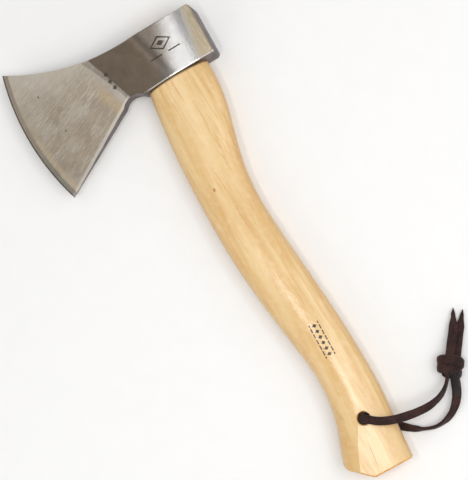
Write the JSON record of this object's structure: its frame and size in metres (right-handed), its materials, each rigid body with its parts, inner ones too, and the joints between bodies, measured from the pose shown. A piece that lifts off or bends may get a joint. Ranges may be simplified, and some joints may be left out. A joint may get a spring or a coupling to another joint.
{
  "type": "carving hatchet",
  "caption": "Carving hatchet with a bearded steel head, a curved hickory handle and a knotted leather lanyard through the swell.",
  "frame": {"origin": "on the flat land of the lower cheek, below the middle of the eye; the hatchet lies on its side", "axes": "+Y runs up the eye, away from the grip; -X points at the cutting edge; +Z is the upper cheek's side"},
  "size_m": [0.2153, 0.386, 0.0283],
  "materials": {
    "head_steel": "forged, ground and brushed",
    "handle_wood": "hickory, clear satin varnish",
    "wedge_wood": "bare hardwood",
    "wedge_steel": "plain turned steel",
    "thong_leather": "dark brown, soft, slightly napped"
  },
  "bodies": {
    "hatchet": {"axe_head": "head_steel", "handle": "handle_wood", "wooden_wedge": "wedge_wood", "steel_ring_wedge": "wedge_steel"},
    "lanyard": {"thong_front_strand": "thong_leather", "thong_back_strand": "thong_leather", "thong_knot": "thong_leather", "thong_front_tail": "thong_leather", "thong_back_tail": "thong_leather"}
  },
  "joints": [
    {"name": "lanyard_swing", "type": "hinge", "parent": "hatchet", "child": "lanyard", "pos_m": [-0.0003, -0.298, 0.014], "axis": [0, 0, 1], "range_deg": [-25, 45]}
  ]
}
